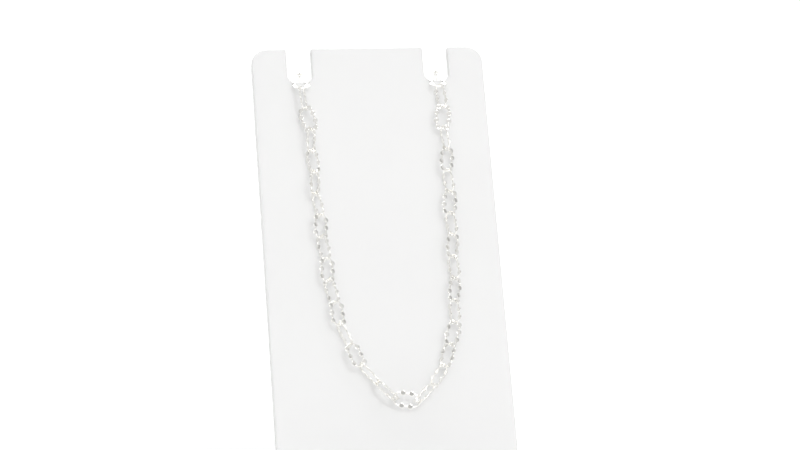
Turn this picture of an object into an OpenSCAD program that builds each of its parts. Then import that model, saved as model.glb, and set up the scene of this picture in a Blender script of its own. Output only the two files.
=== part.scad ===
// Daisy chain necklace hung on a plain slant-back display board.
// The chain is a closed loop: it lies on the front of the board, goes over the
// bottoms of two slots, and hangs free behind, where its clasp is lowest.
// Millimetres, +Z up, front towards -Y. The origin is under the middle of the part.

/* [Display board] */
// Width of the board and its foot
board_w = 70; // [66:1:80]
// Thickness of the sheet
sheet_t = 3; // [2.5:0.5:3.5]
// Length of the flat slope, from the bend to the top edge
slope_l = 136; // [132:1:150]
// Lean of the slope back from upright, in degrees
lean = 30; // [29:0.5:31]
// Radius of the rounded outer corners
corner_r = 5; // [3:0.5:8]
// Inner radius of the bend between slope and foot
bend_r = 6; // [5:0.5:8]
// Length of the foot behind the centre of the bend
foot_l = 68; // [68:1:80]

/* [Slots] */
// Width of each slot
slot_w = 7.5; // [7:0.1:9]
// Depth of each slot below the top edge
slot_d = 11.3; // [11:0.1:12]
// Radius of the slot's bottom corners
slot_r = 2.5; // [1:0.1:3]
// Distance between the middles of the slots
slot_gap = 41.4; // [41:0.1:42]

/* [Links] */
// Wire thickness
wire_d = 0.45; // [0.4:0.01:0.45]
// Distance from one joint of the chain to the next
pitch = 7.18; // [7.15:0.01:7.25]
// Width of a link between the centres of its two sides
link_w = 3.74; // [3.7:0.01:3.8]
// Play between the wires of two links
play = 0.15; // [0.15:0.01:0.17]
// Diameter of the flat discs on the wire
disc_d = 1.5; // [1.2:0.05:1.5]
// Thickness of the discs
disc_t = 0.28; // [0.2:0.01:0.35]

/* [Run of the chain] */
// Height of the chain's middle line above the face of the board
lift = 2.75; // [2.75:0.05:3]
// Height of its first joint below each slot
slot_lift = 2.45; // [2.4:0.05:2.6]
// Sideways step from joint to joint down the front
zigzag = 0.5; // [0:0.05:0.6]
// Number of links in each hidden strand
back_links = 11; // [10:1:11]

/* [Clasp] */
// Radius of the ring clasp, to the middle of its wire
clasp_r = 2.9; // [2.8:0.1:3.2]
// Wire thickness of the ring clasp
clasp_wire = 1.3; // [1.1:0.1:1.3]
// Radius of its eye and of that wire's middle
eye_r = 1.1; // [1.1:0.05:1.3]
// Radius of the end ring, to the middle of its wire
ring_r = 2.1; // [2.1:0.05:2.4]
// Wire thickness of the eye and the end ring
ring_wire = 0.7; // [0.6:0.05:0.7]

/* [Hidden] */

// Frame of the board: across, up its face, and out of its face
up = [0, sin(lean), cos(lean)];
out = [0, -cos(lean), sin(lean)];
bend_out = bend_r + sheet_t;
bend_mid = [0, -(foot_l - bend_out) / 2, bend_out];
// Straight ends of the bend, which lie in the flat plates so that the sheet is one solid
lap = 1;
bend_steps = 24;

// A point at u across, v up from the top edge and n out of the face
function board_point(u, v, n) =
    bend_mid + [u, 0, 0] + (slope_l + v) * up + (bend_out + n) * out;

// Shape of a link, whose middle line is two straight sides and two half circles
half_w = link_w / 2;
joint_d = wire_d + play;
straight = pitch + joint_d - link_w;
disc_step = (2 * straight + 2 * PI * half_w) / 8;
// Places of the discs from the middle of a side, in mm along the wire
two_a_side = [-3.52, -disc_step / 2, disc_step / 2, 3.52];
three_a_side = [-disc_step, 0, disc_step];
bare_ends = [-disc_step / 2, disc_step / 2];

// The front links, from the left slot to the right one.
// Turn of each link about its run, in degrees, where 0 lies flat on the board
front_turns = [
    0, -60, 18, -54, 50, -50, 66, -30, 54, -27, 55, -25, 75, -20, 84, -42,
    22, -50, 58, -38, 28, -56, 38, -57, 37, -58, 24, -62, 31, -75, 0, -60, 0
];
// The links with three discs a side, the others have two and, but for the lowest, four at the ends
three_disc_links = [0, 1, 7, 9, 11, 13, 18, 21, 23, 25, 27, 29, 31, 32];
low_link = 16;
function front_discs(i) =
    i == low_link ? bare_ends
    : len(search(i, three_disc_links)) > 0 ? three_a_side
    : two_a_side;
front_links = len(front_turns);
half_steps = (front_links - 3) / 2;

// Joints at the slots: the first one on the face, and the one over the slot's bottom
slot_drop = 3.3;
slot_turn = 28;
// Where links meet at an angle they sit deeper in each other by these amounts
slot_slack = 0.2;
low_slack = 0.28;
ring_slack = 0.08;
slot_run = pitch - slot_slack;
function slot_joint(side, way) =
    board_point(side * slot_gap / 2, -slot_d - slot_drop + way * cos(slot_turn),
        slot_lift - way * sin(slot_turn));

// Middle line of the run down the front, as [across, up] from the top edge
run = [
    [-slot_gap / 2, -slot_d - slot_drop], [-19.1, -28], [-18.8, -45], [-17.9, -61],
    [-16.8, -77], [-14.2, -92.5], [-8.5, -106.6], [4, -118.6], [14.6, -108],
    [19, -94], [20.4, -78], [20.8, -62], [21.1, -46], [21.2, -30],
    [slot_gap / 2, -slot_d - slot_drop]
];
last = len(run) - 1;
// The run with its drop below the slots scaled by k
function scaled(k) = [for (p = run) [p[0], run[0][1] + (p[1] - run[0][1]) * k]];
// Point of a smooth curve through the points, t counting from point to point
function along(pts, t) =
    let (
        i = min(max(floor(t), 0), last - 1),
        f = t - i,
        a = pts[max(i - 1, 0)],
        b = pts[i],
        c = pts[i + 1],
        d = pts[min(i + 2, last)]
    )
    b + f * (c - a) / 2 + f * f * (a - 2.5 * b + 2 * c - d / 2)
        + f * f * f * (1.5 * (b - c) + (d - a) / 2);
// The same point moved sideways by s
function beside(pts, t, s) =
    let (d = along(pts, t + 0.01) - along(pts, t - 0.01))
    along(pts, t) + s * [-d[1], d[0]] / norm(d);
// Place on the curve where the next joint is a link's reach away, found by halving
function next_t(pts, from, reach, t, step, s, tries = 18) =
    tries == 0 ? t
    : next_t(pts, from, reach, norm(beside(pts, t + step, s) - from) < reach ? t + step : t,
        step / 2, s, tries - 1);
// Joints from one slot towards the lowest link, dir is 1 from the left and -1 from the right
function strand(pts, dir, count, t, from, k = 1) =
    count == 0 ? []
    : let (
        s = (k % 2 == 0 ? 1 : -1) * zigzag * min(1, (count - 1) / 4),
        reach = count == 1 ? pitch - low_slack : pitch,
        t1 = next_t(pts, from, reach, t, dir * 0.4, s),
        p = beside(pts, t1, s)
    )
    concat([p], strand(pts, dir, count - 1, t1, p, k + 1));
function left_strand(k) = strand(scaled(k), 1, half_steps, 0, run[0]);
function right_strand(k) = strand(scaled(k), -1, half_steps, last, run[last]);
// Drop at which the lowest link closes the run, found by halving
function closed(low, high, tries = 14) =
    let (
        k = (low + high) / 2,
        gap = norm(left_strand(k)[half_steps - 1] - right_strand(k)[half_steps - 1])
    )
    tries == 0 ? k
    : gap < pitch - 2 * low_slack ? closed(k, high, tries - 1)
    : closed(low, k, tries - 1);
drop = closed(0.97, 1.04);

function reversed(list) = [for (i = [len(list) - 1 : -1 : 0]) list[i]];
front_joints = concat(
    [slot_joint(-1, slot_run), slot_joint(-1, 0)],
    [for (p = concat(left_strand(drop), reversed(right_strand(drop))))
        board_point(p[0], p[1], lift)],
    [slot_joint(1, 0), slot_joint(1, slot_run)]
);

// The hidden strands: two links tip over the slot's rear edge, the rest hang as a catenary
function unit(v) = v / norm(v);
tip_angles = [45, 71];
hung_links = back_links - len(tip_angles);
slot_way = unit(slot_joint(1, slot_run) - slot_joint(1, 0));
tip_way = [for (a = tip_angles) [0, cos(a), -sin(a)]];
tip_0 = slot_joint(1, slot_run) + slot_slack / 2 * slot_way
    + joint_d / 2 * (slot_way - tip_way[0]);
tip_1 = tip_0 + pitch * tip_way[0];
tip_2 = tip_1 + pitch * tip_way[1];

// How far the wire's middle lies beyond a joint, for the ring and eye and for the clasp
ring_hook = ring_wire / 2 + play / 2;
clasp_hook = clasp_wire / 2 + play / 2;
ring_run = 2 * ring_r - 2 * ring_hook;
eye_mid = clasp_r + clasp_wire / 2 + eye_r - 0.1;
// Distances from the end ring's joint to the middle of the clasp, and in the eye
ring_side = ring_run + clasp_r - clasp_hook;
eye_side = eye_r - ring_hook;

// A catenary of size a, s mm along it from its lowest point
function catenary(a, s) = [a * ln(s / a + sqrt(s * s / a / a + 1)), sqrt(a * a + s * s) - a];
function next_s(a, from, s, step, tries = 16) =
    tries == 0 ? s
    : next_s(a, from, norm(catenary(a, s + step) - from) < pitch ? s + step : s,
        step / 2, tries - 1);
function hung(a, count, s) =
    let (p = catenary(a, s))
    count == 0 ? [p]
    : concat([p], hung(a, count - 1, next_s(a, p, s, pitch * 0.7)));
start_s = (ring_side + eye_mid + eye_side) / 2;
// Size at which the strands are as far apart as the slots, found by halving
function catenary_size(low, high, tries = 16) =
    let (a = (low + high) / 2)
    tries == 0 ? a
    : hung(a, hung_links, start_s)[hung_links][0] < slot_gap / 2
    ? catenary_size(a, high, tries - 1)
    : catenary_size(low, a, tries - 1);
hung_points = hung(catenary_size(2, 20), hung_links, start_s);
low_z = tip_2[2] - hung_points[hung_links][1];
function back_joints(side) =
    [for (p = concat(
        [tip_0, tip_1],
        [for (q = reversed(hung_points)) [q[0], tip_2[1], low_z + q[1]]]
    )) [side * p[0], p[1], p[2]]];
// Turn from link to link in each strand, so that the left one ends face on
back_twist = [90 + 90 / (back_links - 1), 90];

// Places of the end ring, the eye and the clasp between the two strands
ring_up = unit(back_joints(-1)[back_links - 1] - back_joints(-1)[back_links]);
ring_at = back_joints(-1)[back_links] + ring_slack * ring_up;
clasp_end = back_joints(1)[back_links];
eye_at = clasp_end - eye_side * unit(back_joints(1)[back_links - 1] - clasp_end);
span = norm(eye_at - ring_at);
across = unit(eye_at - ring_at);
reach = (span * span + ring_side * ring_side - eye_mid * eye_mid) / (2 * span);
clasp_at = ring_at + reach * across
    + sqrt(ring_side * ring_side - reach * reach) * cross(across, [0, -1, 0]);
ring_way = unit(clasp_at - ring_at);

// Puts what lies along +Y, across X, at a point: way is its direction, side its width
module set_at(at, way, side) {
    d = unit(way);
    w = unit(side - (side * d) * d);
    n = cross(w, d);
    multmatrix([
        [w[0], d[0], n[0], at[0]],
        [w[1], d[1], n[1], at[1]],
        [w[2], d[2], n[2], at[2]]
    ]) children();
}

module tube_ring(r, d) {
    rotate_extrude($fn = 64) translate([r, 0]) circle(d = d, $fn = 24);
}

module link_end() {
    translate([0, straight / 2, 0]) rotate_extrude(angle = 180, $fn = 48)
        translate([half_w, 0]) circle(d = wire_d, $fn = 24);
}

module link_wire() {
    for (side = [-1, 1])
        translate([side * half_w, 0, 0]) rotate([90, 0, 0])
            cylinder(d = wire_d, h = straight, center = true, $fn = 24);
    link_end();
    rotate(180) link_end();
}

// Point of the link's middle line, s along the wire from the middle of a side
function wire_point(s) =
    let (a = (s - straight / 2) / half_w * 180 / PI)
    s <= straight / 2 ? [half_w, s] : [half_w * cos(a), straight / 2 + half_w * sin(a)];

module discs(places, d, h) {
    for (turn = [0, 180], s = places)
        rotate(turn) let (p = wire_point(abs(s)))
            translate([p[0], sign(s) * p[1], 0])
                cylinder(d = d, h = h, center = true, $fn = 32);
}

module link(places) {
    difference() {
        link_wire();
        discs(places, disc_d - 0.1, 2 * wire_d);
    }
    discs(places, disc_d, disc_t);
}

// A link between two joints, turned about its run from where its width lies along side
module chain_link(a, b, side, turn, places) {
    d = unit(b - a);
    w = unit(side - (side * d) * d);
    set_at((a + b) / 2, d, cos(turn) * w + sin(turn) * cross(d, w)) link(places);
}

module board_outline() {
    r = corner_r;
    translate([-board_w / 2, -slope_l]) square([board_w, slope_l - r]);
    translate([-board_w / 2 + r, -r]) square([board_w - 2 * r, r]);
    for (side = [-1, 1])
        translate([side * (board_w / 2 - r), -r]) circle(r, $fn = 64);
}

module slot_outline() {
    above = 1;
    translate([-slot_w / 2, -slot_d + slot_r]) square([slot_w, slot_d - slot_r + above]);
    translate([-slot_w / 2 + slot_r, -slot_d]) square([slot_w - 2 * slot_r, slot_r]);
    for (side = [-1, 1])
        translate([side * (slot_w / 2 - slot_r), -slot_d + slot_r]) circle(slot_r, $fn = 48);
}

module slope() {
    translate([0, bend_mid[1], bend_out]) rotate([90 - lean, 0, 0])
        translate([0, slope_l, bend_r]) linear_extrude(sheet_t) difference() {
            board_outline();
            for (side = [-1, 1]) translate([side * slot_gap / 2, 0]) slot_outline();
        }
}

// One face of the bend from the side, as [back, up] from the bend's centre
function bend_face(r) = concat(
    [r * [out[1], out[2]] + lap * [up[1], up[2]]],
    [for (i = [0 : bend_steps])
        let (a = 180 - lean + (90 + lean) * i / bend_steps) r * [cos(a), sin(a)]],
    [[lap, -r]]
);

module bend() {
    translate([-board_w / 2, bend_mid[1], bend_out]) rotate([90, 0, 90])
        linear_extrude(board_w) polygon(concat(bend_face(bend_out), reversed(bend_face(bend_r))));
}

module foot() {
    r = corner_r;
    translate([0, bend_mid[1], 0]) linear_extrude(sheet_t) {
        translate([-board_w / 2, 0]) square([board_w, foot_l - r]);
        translate([-board_w / 2 + r, foot_l - r]) square([board_w - 2 * r, r]);
        for (side = [-1, 1])
            translate([side * (board_w / 2 - r), foot_l - r]) circle(r, $fn = 64);
    }
}

module display_stand() {
    color("white") {
        slope();
        bend();
        foot();
    }
}

module chain_front() {
    color("silver") for (i = [0 : front_links - 1]) {
        a = front_joints[i];
        b = front_joints[i + 1];
        chain_link(a, b, cross(out, b - a), front_turns[i], front_discs(i));
    }
}

module chain_back() {
    color("silver") for (strand = [0, 1], i = [0 : back_links - 1]) {
        joints = back_joints(strand == 0 ? -1 : 1);
        chain_link(joints[i], joints[i + 1], [1, 0, 0], 90 + i * back_twist[strand],
            i % 2 == 0 ? three_a_side : two_a_side);
    }
}

module clasp() {
    color("silver") set_at(clasp_at, eye_at - clasp_at, [0, 0, 1]) {
        tube_ring(clasp_r, clasp_wire);
        translate([0, eye_mid, 0]) tube_ring(eye_r, ring_wire);
    }
}

module end_ring() {
    color("silver") set_at(ring_at + ring_run / 2 * ring_way, ring_way, [0, 1, 0])
        tube_ring(ring_r, ring_wire);
}

display_stand();
chain_front();
chain_back();
clasp();
end_ring();
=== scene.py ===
import math

import bmesh
import bpy
import numpy as np
from mathutils import Matrix, Vector


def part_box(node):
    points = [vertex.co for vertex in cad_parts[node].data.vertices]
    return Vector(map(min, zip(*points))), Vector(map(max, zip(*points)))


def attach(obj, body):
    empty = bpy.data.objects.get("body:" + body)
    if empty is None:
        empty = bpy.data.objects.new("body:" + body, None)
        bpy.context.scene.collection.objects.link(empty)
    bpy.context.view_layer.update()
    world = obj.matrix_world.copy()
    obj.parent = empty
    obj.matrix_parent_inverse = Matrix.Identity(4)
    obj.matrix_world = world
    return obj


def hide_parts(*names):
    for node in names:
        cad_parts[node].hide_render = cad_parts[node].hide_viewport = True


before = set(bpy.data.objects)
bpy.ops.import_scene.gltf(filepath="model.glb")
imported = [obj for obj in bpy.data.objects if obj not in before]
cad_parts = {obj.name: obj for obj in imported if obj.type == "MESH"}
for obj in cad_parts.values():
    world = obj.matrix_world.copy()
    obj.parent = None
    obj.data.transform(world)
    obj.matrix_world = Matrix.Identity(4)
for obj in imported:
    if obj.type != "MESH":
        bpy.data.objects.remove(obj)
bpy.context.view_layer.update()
mm = 0.001
scene = bpy.context.scene


class Flow:
    # the output of a node, which takes part in sums as a number does
    def __init__(self, net, socket):
        self.net = net
        self.socket = socket

    def calc(self, operation, *others):
        parts = dict(enumerate((self, *others)))
        if any(isinstance(p, Flow) and p.socket.type == "VECTOR" for p in parts.values()):
            return self.net.add("ShaderNodeVectorMath", {"operation": operation}, parts)
        return self.net.add("ShaderNodeMath", {"operation": operation}, parts)

    def __add__(self, other):
        return self.calc("ADD", other)

    def __sub__(self, other):
        return self.calc("SUBTRACT", other)

    def __mul__(self, other):
        if self.socket.type == "VECTOR":
            settings = {"operation": "SCALE"}
            return self.net.add("ShaderNodeVectorMath", settings, {0: self, "Scale": other})
        return self.calc("MULTIPLY", other)

    def __truediv__(self, other):
        return self.calc("DIVIDE", other)

    def __rsub__(self, other):
        return self.net.add("ShaderNodeMath", {"operation": "SUBTRACT"}, {0: other, 1: self})

    __radd__ = __add__
    __rmul__ = __mul__

    def dot(self, other):
        settings = {"operation": "DOT_PRODUCT"}
        return self.net.add("ShaderNodeVectorMath", settings, {0: self, 1: other}, "Value")

    def ease(self, start, end):
        # 0 before start and 1 after end, with a soft step between them
        settings = {"interpolation_type": "SMOOTHSTEP"}
        return self.net.add("ShaderNodeMapRange", settings, {
            "Value": self, "From Min": start, "From Max": end, "To Min": 0.0, "To Max": 1.0,
        })

    def other(self, label):
        return Flow(self.net, self.net.find(self.socket.node.outputs, label))


class Net:
    # a node tree that is filled in by add
    def __init__(self, tree):
        self.tree = tree

    def find(self, sockets, key):
        if isinstance(key, int):
            return sockets[key]
        return next(s for s in sockets if s.name == key and s.enabled)

    def first(self, node, label):
        # the output of that name, or else the first one in use
        outputs = [s for s in node.outputs if s.enabled and label in (None, s.name)]
        return Flow(self, outputs[0]) if outputs else None

    def add(self, kind, settings=None, inputs=None, out=None):
        node = self.tree.nodes.new(kind)
        for name, value in (settings or {}).items():
            if name == "captures":
                for label in value:
                    node.capture_items.new("VECTOR", label)
            else:
                setattr(node, name, value)
        for key, value in (inputs or {}).items():
            socket = self.find(node.inputs, key)
            if isinstance(value, Flow):
                self.tree.links.new(value.socket, socket)
            else:
                socket.default_value = value
        return self.first(node, out)

    def mix(self, factor, first, second):
        settings = {"data_type": "RGBA"}
        return self.add("ShaderNodeMix", settings, {"Factor": factor, "A": first, "B": second})

    def noise(self, place, scale, detail=2.0, roughness=0.5):
        return self.add("ShaderNodeTexNoise", None, {
            "Vector": place, "Scale": scale, "Detail": detail, "Roughness": roughness,
        })


def geometryNet(name, sockets):
    tree = bpy.data.node_groups.new(name, "GeometryNodeTree")
    tree.interface.new_socket("Geometry", in_out="OUTPUT", socket_type="NodeSocketGeometry")
    tree.interface.new_socket("Geometry", in_out="INPUT", socket_type="NodeSocketGeometry")
    for label, kind in sockets.items():
        tree.interface.new_socket(label, in_out="INPUT", socket_type="NodeSocket" + kind)
    net = Net(tree)
    entry = tree.nodes.new("NodeGroupInput")
    return net, {s.name: Flow(net, s) for s in entry.outputs if s.name}


def endTree(net, geometry, material):
    # every tree ends with its instances made real and its material set
    real = net.add("GeometryNodeRealizeInstances", None, {"Geometry": geometry})
    done = net.add("GeometryNodeSetMaterial", None, {"Geometry": real, "Material": material})
    leave = net.tree.nodes.new("NodeGroupOutput")
    net.tree.links.new(done.socket, leave.inputs["Geometry"])
    return net.tree


def addObject(name, mesh):
    piece = bpy.data.objects.new(name, mesh)
    scene.collection.objects.link(piece)
    return piece


def settled(holder, name):
    # the holder with its modifiers worked out, as a plain mesh piece
    depsgraph = bpy.context.evaluated_depsgraph_get()
    mesh = bpy.data.meshes.new_from_object(
        holder.evaluated_get(depsgraph), preserve_all_data_layers=True, depsgraph=depsgraph
    )
    mesh.name = name
    bpy.data.objects.remove(holder)
    return addObject(name, mesh)


def grow(name, seedMesh, tree, values):
    holder = addObject(name + ".seed", seedMesh)
    modifier = holder.modifiers.new(name, "NODES")
    modifier.node_group = tree
    inputs = [i for i in tree.interface.items_tree if i.in_out == "INPUT"]
    for item in inputs:
        if item.name in values:
            modifier[item.identifier] = values[item.name]
    return settled(holder, name)


def materialNet(name):
    material = bpy.data.materials.new(name)
    material.use_nodes = True
    material.node_tree.nodes.clear()
    return material, Net(material.node_tree)


def endMaterial(net, sockets):
    shader = net.add("ShaderNodeBsdfPrincipled", None, sockets)
    net.add("ShaderNodeOutputMaterial", None, {"Surface": shader})


# Finishes

silverLook = {
    "bright": (0.95, 0.94, 0.91, 1),
    "dull": (0.86, 0.85, 0.805, 1),
    "dullShare": 0.6,
    "patches": 420.0,  # scale of the handled patches
    "patchRange": (0.42, 0.66),  # where a patch begins and is full
    "polish": 0.06,  # roughness where it is bright
    "wear": 0.12,  # added where it is handled
    "grain": 5200.0,  # scale of the polishing marks
    "grainRange": (0.5, 0.8),
    "grainWear": 0.05,
    "scratch": 0.004,  # depth of the marks, mm
    "bump": 0.35,
}


def makeSilver():
    look = silverLook
    material, net = materialNet("silver")
    place = net.add("ShaderNodeTexCoord", out="Object")
    worn = net.noise(place, look["patches"], 3.0).ease(*look["patchRange"])
    grain = net.noise(place, look["grain"], 2.0)
    marks = grain.ease(*look["grainRange"])
    normal = net.add("ShaderNodeBump", None, {
        "Strength": look["bump"], "Distance": look["scratch"] * mm, "Height": grain,
    })
    endMaterial(net, {
        "Base Color": net.mix(worn * look["dullShare"], look["bright"], look["dull"]),
        "Metallic": 1.0,
        "Roughness": look["polish"] + look["wear"] * worn + look["grainWear"] * marks,
        "Normal": normal,
    })
    return material


acrylicLook = {
    # colour, roughness, and share of the light that goes into the sheet and comes out near by
    "face": ((0.9, 0.9, 0.897, 1), 0.11, 0.9),
    "edge": ((0.9, 0.9, 0.895, 1), 0.2, 0.4),
    "shade": (0.89, 0.89, 0.887, 1),
    "shadeRange": (0.35, 0.65),
    "reach": 2.5,  # how far light goes in the sheet, mm
    "ior": 1.49,
    "waves": 14.0,  # scale of the sheet's slow waves
    "ripple": 0.02,  # their height, mm
    "bump": 0.2,
    "dust": 900.0,  # scale of the finest marks
    "dustHeight": 0.04,
    "dustRough": 0.02,
    "smears": 60.0,  # scale of the wiping marks
    "smearRange": (0.45, 0.75),
    "smearRough": 0.05,
}


def makeAcrylic(part):
    look = acrylicLook
    colour, rough, milky = look[part]
    material, net = materialNet("acrylic." + part)
    place = net.add("ShaderNodeTexCoord", out="Object")
    slow = net.noise(place, look["waves"], 2.0)
    fine = net.noise(place, look["dust"], 3.0)
    smear = net.noise(place, look["smears"], 4.0, 0.6).ease(*look["smearRange"])
    normal = net.add("ShaderNodeBump", None, {
        "Strength": look["bump"], "Distance": look["ripple"] * mm,
        "Height": slow + look["dustHeight"] * fine,
    })
    endMaterial(net, {
        "Base Color": net.mix(slow.ease(*look["shadeRange"]), colour, look["shade"]),
        "Roughness": rough + look["smearRough"] * smear + look["dustRough"] * fine,
        "IOR": look["ior"], "Normal": normal,
        "Subsurface Weight": milky, "Subsurface Radius": (1, 1, 1),
        "Subsurface Scale": look["reach"] * mm,
    })
    return material


silver = makeSilver()
acrylicFace = makeAcrylic("face")
acrylicEdge = makeAcrylic("edge")
print("finishes made")

# Board: a flat sheet pattern, bent and given its thickness

boardSizes = {
    "sheet": 3.0,
    "lean": 30.0,  # degrees back from upright
    "bend": 6.0,  # inner radius
    "corner": 5.0,
    "slotWidth": 7.5,
    "slotDepth": 11.3,
    "slotRadius": 2.5,
    "slotGap": 41.4,
    "round": 0.5,  # rounding of the polished edges
    "sharp": 40,  # edges that turn by more than this many degrees are rounded
    "roundSteps": 4,
    "arcSteps": 12,
    "bendSteps": 40,
}


def arcPoints(centre, radius, start, end, steps):
    angles = [math.radians(start + (end - start) * i / steps) for i in range(steps + 1)]
    return [(centre[0] + radius * math.cos(a), centre[1] + radius * math.sin(a)) for a in angles]


def makeBoard():
    s = boardSizes
    low, high = [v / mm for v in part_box("display_stand")]
    lean = math.radians(s["lean"])
    outer = s["bend"] + s["sheet"]
    up = Vector((0, math.sin(lean), math.cos(lean)))
    out = Vector((0, -math.cos(lean), math.sin(lean)))
    middle = Vector((0, low.y + outer, outer))
    half = (high.x - low.x) / 2
    slope = (high.z - middle.z - outer * out.z) / up.z  # straight length to the top edge
    foot = high.y - middle.y
    r = s["corner"]

    # the slope's outline, as (across, up from the bend), right side first
    outline = [(-half, 0), (half, 0)]
    outline += arcPoints((half - r, slope - r), r, 0, 90, s["arcSteps"])
    for side in (1, -1):
        x = side * s["slotGap"] / 2
        w = s["slotWidth"] / 2
        q = s["slotRadius"]
        bottom = slope - s["slotDepth"] + q
        outline.append((x + w, slope))
        outline += arcPoints((x + w - q, bottom), q, 0, -90, s["arcSteps"])
        outline += arcPoints((x - w + q, bottom), q, -90, -180, s["arcSteps"])
        outline.append((x - w, slope))
    outline += arcPoints((r - half, slope - r), r, 90, 180, s["arcSteps"])

    footLine = [(half, 0), (-half, 0)]
    footLine += arcPoints((r - half, foot - r), r, 180, 90, s["arcSteps"])
    footLine += arcPoints((half - r, foot - r), r, 90, 0, s["arcSteps"])

    bm = bmesh.new()
    face = [bm.verts.new(middle + Vector((u, 0, 0)) + v * up + outer * out) for u, v in outline]
    bm.faces.new(face)
    under = [bm.verts.new(middle + Vector((u, v, -outer))) for u, v in footLine]
    bm.faces.new(under)
    rows = [(face[0], face[1])]
    for i in range(1, s["bendSteps"]):
        a = math.radians(180 - s["lean"] + (90 + s["lean"]) * i / s["bendSteps"])
        spot = middle + outer * Vector((0, math.cos(a), math.sin(a)))
        rows.append([bm.verts.new(spot + Vector((u, 0, 0))) for u in (-half, half)])
    rows.append((under[1], under[0]))
    for first, second in zip(rows, rows[1:]):
        bm.faces.new((first[0], second[0], second[1], first[1]))
    bmesh.ops.scale(bm, vec=(mm, mm, mm), verts=bm.verts)
    mesh = bpy.data.meshes.new("board.pattern")
    bm.to_mesh(mesh)
    bm.free()

    mesh.materials.append(acrylicFace)
    mesh.materials.append(acrylicEdge)
    for polygon in mesh.polygons:
        polygon.use_smooth = True
    holder = addObject("board.pattern", mesh)
    thick = holder.modifiers.new("thickness", "SOLIDIFY")
    thick.thickness = s["sheet"] * mm
    thick.offset = -1
    thick.use_even_offset = True
    thick.material_offset_rim = 1
    rounding = holder.modifiers.new("rounding", "BEVEL")
    rounding.width = s["round"] * mm
    rounding.segments = s["roundSteps"]
    rounding.limit_method = "ANGLE"
    rounding.angle_limit = math.radians(s["sharp"])
    rounding.material = 1
    rounding.harden_normals = True
    weighted = holder.modifiers.new("normals", "WEIGHTED_NORMAL")
    weighted.keep_sharp = False
    return settled(holder, "board")


board = makeBoard()
print("board made:", len(board.data.polygons), "faces")

# Chain: links of one bent wire with flats stamped into it

linkSizes = {
    "wire": 0.45,
    "width": 3.74,  # between the middles of the two sides
    "straight": 4.04,  # straight part of a side
    "discSize": 1.5,
    "discThickness": 0.28,
    "discStep": 2.48,  # between neighbouring discs, along the wire
    "endDisc": 3.52,  # from the middle of a side to its end discs
    "rings": 180,  # cross sections round a link
    "sides": 16,
    "endPoints": 24,  # on each round end, before the rings are spaced out
    "neck": 0.08,  # softness where a disc leaves the wire, mm
    "stamped": (-0.1, 0.16),  # where flattening begins and is full, mm inside a disc's rim
    "squareRim": 0.4,  # how far a stamped section turns from round to square, sideways
    "squareFace": 0.82,  # and out of its face
    "crease": 38,  # edges that turn by more than this many degrees stay crisp
    "dome": 0.25,  # how far a disc thins out towards its rim
    "tilt": 9.0,  # most that a disc is twisted on its wire, degrees
    "seed": 7,
}
frontLinks = 33
backLinks = 11  # in each hidden strand
# Links with three discs a side, counted from the left slot, and the lowest link, with bare ends
threeDiscLinks = [0, 1, 7, 9, 11, 13, 18, 21, 23, 25, 27, 29, 31, 32]
lowLink = 16
linkKinds = ("Two a side", "Three a side", "Bare ends")
bareEnds = linkKinds.index("Bare ends")
weld = 1e-7  # points of the frame's meshes that are this near are one, m


def wirePoint(s):
    # a point of the link's middle line, s along the wire from the middle of a side
    half = linkSizes["width"] / 2
    straight = linkSizes["straight"] / 2
    if abs(s) <= straight:
        return Vector((half, s, 0))
    a = (abs(s) - straight) / half
    return Vector((half * math.cos(a), math.copysign(straight + half * math.sin(a), s), 0))


def discPlaces(name, places):
    points = [wirePoint(s) * turn * mm for turn in (1, -1) for s in places]
    mesh = bpy.data.meshes.new(name)
    mesh.from_pydata(points, [], [])
    return addObject(name, mesh)


def linksOfNode(node):
    # middle, long axis and facing of each loose link of a CAD chain, left to right round its U
    bm = bmesh.new()
    bm.from_mesh(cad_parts[node].data)
    bmesh.ops.remove_doubles(bm, verts=bm.verts, dist=weld)
    seen = set()
    found = []
    for start in bm.verts:
        if start in seen:
            continue
        seen.add(start)
        island = [start]
        for vert in island:
            for edge in vert.link_edges:
                near = edge.other_vert(vert)
                if near not in seen:
                    seen.add(near)
                    island.append(near)
        points = np.array([v.co for v in island])
        axes = np.linalg.svd(points - points.mean(0), full_matrices=False)[2]
        spread = points @ axes.T
        centre = (spread.min(0) + spread.max(0)) / 2 @ axes
        # an axis may come out either way round, so its largest part is made positive
        along, facing = [a * np.sign(a[np.argmax(abs(a))]) for a in (axes[0], axes[2])]
        found.append((centre, along, facing))
    bm.free()
    top = max(f[0][2] for f in found) + 10 * mm  # their order goes round a point above them
    return sorted(found, key=lambda f: math.atan2(f[0][2] - top, f[0][0]))


def linkPoints(name, links, kinds):
    mesh = bpy.data.meshes.new(name)
    mesh.from_pydata([f[0] for f in links], [], [])
    for label, column in (("along", 1), ("facing", 2)):
        values = np.array([f[column] for f in links], np.float32)
        mesh.attributes.new(label, "FLOAT_VECTOR", "POINT").data.foreach_set("vector", values.ravel())
    for label, values in (("kind", kinds), ("link", range(len(links)))):
        mesh.attributes.new(label, "INT", "POINT").data.foreach_set("value", list(values))
    return mesh


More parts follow.
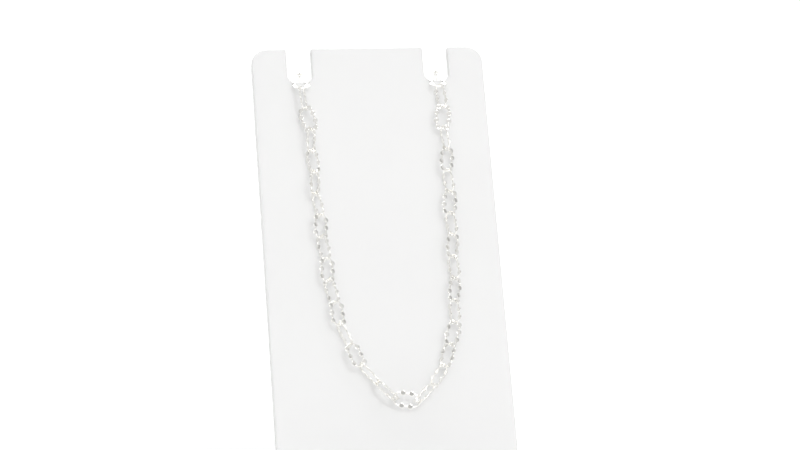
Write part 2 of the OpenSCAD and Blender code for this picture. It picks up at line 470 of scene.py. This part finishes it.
def makeChainTree():
    s = linkSizes
    net, given = geometryNet("linksOnPoints", {
        "Wire": "Float", "Width": "Float", "Straight": "Float", "Disc size": "Float",
        "Disc thickness": "Float", "Dome": "Float", "Rings": "Int", "Sides": "Int", "Tilt": "Float",
        "Seed": "Int", **dict.fromkeys(linkKinds, "Object"), "Material": "Material",
    })

    def named(label, kind):
        return net.add("GeometryNodeInputNamedAttribute", {"data_type": kind}, {"Name": label})

    points = given["Geometry"]
    facing = named("facing", "FLOAT_VECTOR")
    link = named("link", "INT")
    turn = net.add("FunctionNodeAxesToRotation", {"primary_axis": "Z", "secondary_axis": "Y"}, {
        "Primary Axis": facing, "Secondary Axis": named("along", "FLOAT_VECTOR"),
    })

    def squared(value, share):
        # -1 to 1 across a round section, spread towards its ends as it turns square
        return value.calc("ABSOLUTE").calc("POWER", 1.0 - share) * value.calc("SIGN")

    def placed(instance, selection=None):
        inputs = {"Points": points, "Instance": instance, "Rotation": turn}
        if selection:
            inputs["Selection"] = selection
        made = net.add("GeometryNodeInstanceOnPoints", None, inputs)
        return net.add("GeometryNodeRealizeInstances", None, {"Geometry": made})

    # the wire's middle line: a rectangle whose short sides are rounded right through
    box = net.add("GeometryNodeCurvePrimitiveQuadrilateral", {"mode": "RECTANGLE"}, {
        "Width": given["Width"], "Height": given["Straight"] + given["Width"],
    })
    loop = net.add("GeometryNodeFilletCurve", {"mode": "POLY"}, {
        "Curve": box, "Radius": given["Width"] * 0.5, "Limit Radius": True,
        "Count": s["endPoints"],
    })
    loop = net.add("GeometryNodeResampleCurve", {"mode": "COUNT"}, {
        "Curve": loop, "Count": given["Rings"],
    })
    kept = net.add("GeometryNodeCaptureAttribute", {"captures": ["Centre", "Way"]}, {
        "Geometry": placed(loop), "Centre": net.add("GeometryNodeInputPosition"),
        "Way": net.add("GeometryNodeInputTangent"),
    })
    centre = kept.other("Centre")
    radius = given["Wire"] * 0.5
    profile = net.add("GeometryNodeCurvePrimitiveCircle", {"mode": "RADIUS"}, {
        "Resolution": given["Sides"], "Radius": radius,
    })
    wire = net.add("GeometryNodeCurveToMesh", None, {"Curve": kept, "Profile Curve": profile})

    # the middles of all discs, each group tied to its link
    discs = net.tree.nodes.new("GeometryNodeJoinGeometry")
    for kind, label in enumerate(linkKinds):
        chosen = net.add("FunctionNodeCompare", {"data_type": "INT", "operation": "EQUAL"}, {
            "A": named("kind", "INT"), "B": kind,
        })
        shape = net.add("GeometryNodeObjectInfo", None, {"Object": given[label]}, "Geometry")
        net.tree.links.new(placed(shape, chosen).socket, discs.inputs[0])
    discs = Flow(net, discs.outputs[0])
    nearest = net.add("GeometryNodeProximity", {"target_element": "POINTS"}, {
        "Geometry": discs, "Group ID": link, "Sample Position": centre, "Sample Group ID": link,
    })
    distance = nearest.other("Distance")
    number = net.add("GeometryNodeSampleNearest", {"domain": "POINT"}, {
        "Geometry": discs, "Sample Position": centre,
    })

    # where each point of the round wire goes: out to the disc's rim, and down to its thickness
    side = kept.other("Way").calc("CROSS_PRODUCT", facing)
    offset = net.add("GeometryNodeInputPosition") - centre
    across = offset.dot(side) / radius
    above = offset.dot(facing) / radius
    discRadius = given["Disc size"] * 0.5
    shift = (centre - nearest).dot(side)
    rim = discRadius * discRadius + shift * shift - distance * distance
    reach = rim.calc("MAXIMUM", 0.0).calc("SQRT") - across.calc("SIGN") * shift
    reach = reach * rim.calc("GREATER_THAN", 0.0)
    width = reach.calc("SMOOTH_MAX", radius, s["neck"] * mm)
    flat = (discRadius - distance).ease(*[v * mm for v in s["stamped"]])
    thick = radius + flat * (given["Disc thickness"] * 0.5 - radius)
    handmade = named("kind", "INT").calc("LESS_THAN", bareEnds - 0.5)  # not the lowest link
    middle = centre - nearest
    beyond = middle.dot(middle) - shift * shift + across * across * width * width
    dome = flat * given["Dome"] * handmade
    thick = thick * (1.0 - dome * beyond / (discRadius * discRadius))
    twist = net.add("FunctionNodeRandomValue", {"data_type": "FLOAT"}, {
        "Min": given["Tilt"] * -1.0, "Max": given["Tilt"], "ID": number, "Seed": given["Seed"],
    }) * flat * handmade
    sine = twist.calc("SINE")
    cosine = twist.calc("COSINE")
    right = squared(across, s["squareRim"] * flat) * width
    rise = squared(above, s["squareFace"] * flat) * thick
    place = centre + side * (right * cosine - rise * sine) + facing * (right * sine + rise * cosine)
    links = net.add("GeometryNodeSetPosition", None, {"Geometry": wire, "Position": place})

    # polished flats keep a crisp rim
    smooth = net.add("GeometryNodeSetShadeSmooth", {"domain": "FACE"}, {
        "Geometry": links, "Shade Smooth": True,
    })
    fold = net.add("GeometryNodeInputMeshEdgeAngle").calc("GREATER_THAN", math.radians(s["crease"]))
    crisp = net.add("GeometryNodeSetShadeSmooth", {"domain": "EDGE"}, {
        "Geometry": smooth, "Selection": fold, "Shade Smooth": False,
    })
    return endTree(net, crisp, given["Material"])


def makeChain(name, node, kinds, tree, places):
    s = linkSizes
    links = linksOfNode(node)
    print(node, "has", len(links), "links")
    values = {
        "Wire": s["wire"] * mm, "Width": s["width"] * mm, "Straight": s["straight"] * mm,
        "Disc size": s["discSize"] * mm, "Disc thickness": s["discThickness"] * mm,
        "Dome": s["dome"], "Rings": s["rings"], "Sides": s["sides"], "Tilt": math.radians(s["tilt"]),
        "Seed": s["seed"], "Material": silver, **places,
    }
    piece = grow(name, linkPoints(name, links, kinds), tree, values)
    for label in ("along", "facing", "kind", "link"):
        extra = piece.data.attributes.get(label)
        if extra:
            piece.data.attributes.remove(extra)
    return piece


chainTree = makeChainTree()
step = linkSizes["discStep"]
end = linkSizes["endDisc"]
places = {
    "Two a side": discPlaces("twoASide", (-end, -step / 2, step / 2, end)),
    "Three a side": discPlaces("threeASide", (-step, 0, step)),
    "Bare ends": discPlaces("bareEnds", (-step / 2, step / 2)),
}
# a link's kind is its place in linkKinds
frontKinds = [bareEnds if i == lowLink else int(i in threeDiscLinks) for i in range(frontLinks)]
backKinds = [int(min(i, 2 * backLinks - 1 - i) % 2 == 0) for i in range(2 * backLinks)]
frontChain = makeChain("frontChain", "chain_front", frontKinds, chainTree, places)
rearChain = makeChain("rearChain", "chain_back", backKinds, chainTree, places)
for holder in places.values():
    bpy.data.objects.remove(holder)
print("chains made:", len(frontChain.data.polygons), "and", len(rearChain.data.polygons), "faces")

for node in ("clasp", "end_ring"):
    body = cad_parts[node]
    body.data.materials.clear()
    body.data.materials.append(silver)

# Studio: pale floor, white surround with grey cards, soft lights and the camera

studio = {
    "floor": (0.95, 0.95, 0.95, 1),
    "floorHalf": 20,  # half its width, m
    "floorRough": 0.9,
    "floorGlow": 0.34,
    "surround": 1.25,  # brightness of the walls as gloss and the camera see them
    "haze": 0.19,  # and as they light the piece
    # azimuth and elevation seen from the object, half width, half height, soft edge, grey
    "cards": [
        (0, 15, 125, 56, 14, 0.62),
        (80, 22, 8, 30, 5, 0.58),
        (-80, 22, 8, 30, 5, 0.58),
        (0, 14, 13, 10, 5, 0.66),
    ],
    # azimuth, elevation, width, strength, and whether gloss shows the light itself
    "lights": {
        "top": (180, 72, 40, 1.12, True),
        "fill": (10, 45, 85, 0.88, False),
        "key": (14, 34, 20, 0.68, True),
    },
}


def makeFloor():
    material, net = materialNet("floor")
    endMaterial(net, {
        "Base Color": studio["floor"], "Roughness": studio["floorRough"], "Specular IOR Level": 0.0,
        "Emission Color": studio["floor"], "Emission Strength": studio["floorGlow"],
    })
    bm = bmesh.new()
    bmesh.ops.create_grid(bm, x_segments=1, y_segments=1, size=studio["floorHalf"])
    mesh = bpy.data.meshes.new("floor")
    bm.to_mesh(mesh)
    bm.free()
    mesh.materials.append(material)
    floor = addObject("floor", mesh)


def makeSurround():
    world = bpy.data.worlds.new("surround")
    world.use_nodes = True
    world.node_tree.nodes.clear()
    scene.world = world
    net = Net(world.node_tree)
    way = net.add("ShaderNodeTexCoord", out="Generated")
    x, y, z = [way.dot(axis) for axis in ((1, 0, 0), (0, -1, 0), (0, 0, 1))]
    azimuth = x.calc("ARCTAN2", y)
    height = z.calc("ARCSINE")
    walls = studio["surround"]
    for *angles, grey in studio["cards"]:
        a, e, halfWidth, halfHeight, soft = [math.radians(v) for v in angles]
        wide = (azimuth - a).calc("ABSOLUTE").ease(halfWidth + soft, halfWidth - soft)
        high = (height - e).calc("ABSOLUTE").ease(halfHeight + soft, halfHeight - soft)
        walls = walls * (1.0 - (1.0 - grey) * wide * high)
    glossy = net.add("ShaderNodeLightPath", out="Is Glossy Ray")
    seen = net.add("ShaderNodeLightPath", out="Is Camera Ray")
    light = studio["haze"] + glossy * (walls - studio["haze"]) + seen * studio["surround"]
    shade = net.add("ShaderNodeBackground", None, {"Color": (1, 1, 1, 1), "Strength": light})
    net.add("ShaderNodeOutputWorld", None, {"Surface": shade})


def direction(azimuth, elevation):
    # the way to something seen from the object, azimuth 0 in front and 90 to the right
    a, e = math.radians(azimuth), math.radians(elevation)
    return Vector((math.sin(a) * math.cos(e), -math.cos(a) * math.cos(e), math.sin(e)))


def makeLight(name, azimuth, elevation, width, strength, shown):
    lamp = bpy.data.lights.new(name, "SUN")
    lamp.angle = math.radians(width)
    lamp.energy = strength
    holder = addObject(name, lamp)
    holder.rotation_euler = direction(azimuth, elevation).to_track_quat("Z", "Y").to_euler()
    holder.visible_glossy = shown


# The photograph's view, in degrees and mm, of a point near the middle of the piece
view = {
    "target": (5.84, 0, 79.75),
    "distance": 1182.5,
    "azimuth": -7.19,
    "elevation": 4.29,
    "roll": -0.63,
    "lens": 180,
    "clip": (0.05, 60),  # nearest and furthest that it sees, m
}


def makeCamera():
    roll = math.radians(view["roll"])
    back = direction(view["azimuth"], view["elevation"])
    right = Vector((-back.y, back.x, 0)).normalized()
    up = back.cross(right)
    turned = right * math.cos(roll) + up * math.sin(roll)
    axes = Matrix((turned, back.cross(turned), back)).transposed()
    lens = bpy.data.cameras.new("camera")
    lens.lens = view["lens"]
    lens.clip_start, lens.clip_end = view["clip"]
    camera = addObject("camera", lens)
    place = (Vector(view["target"]) + back * view["distance"]) * mm
    camera.matrix_world = Matrix.Translation(place) @ axes.to_4x4()
    scene.camera = camera


scene.view_settings.view_transform = "Standard"
makeFloor()
makeSurround()
for name, values in studio["lights"].items():
    makeLight(name, *values)
makeCamera()
print("studio made")

for piece, node, slot in (
    (board, "display_stand", "board"),
    (frontChain, "chain_front", "silver"),
    (rearChain, "chain_back", "silver"),
):
    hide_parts(node)
    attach(piece, "root")
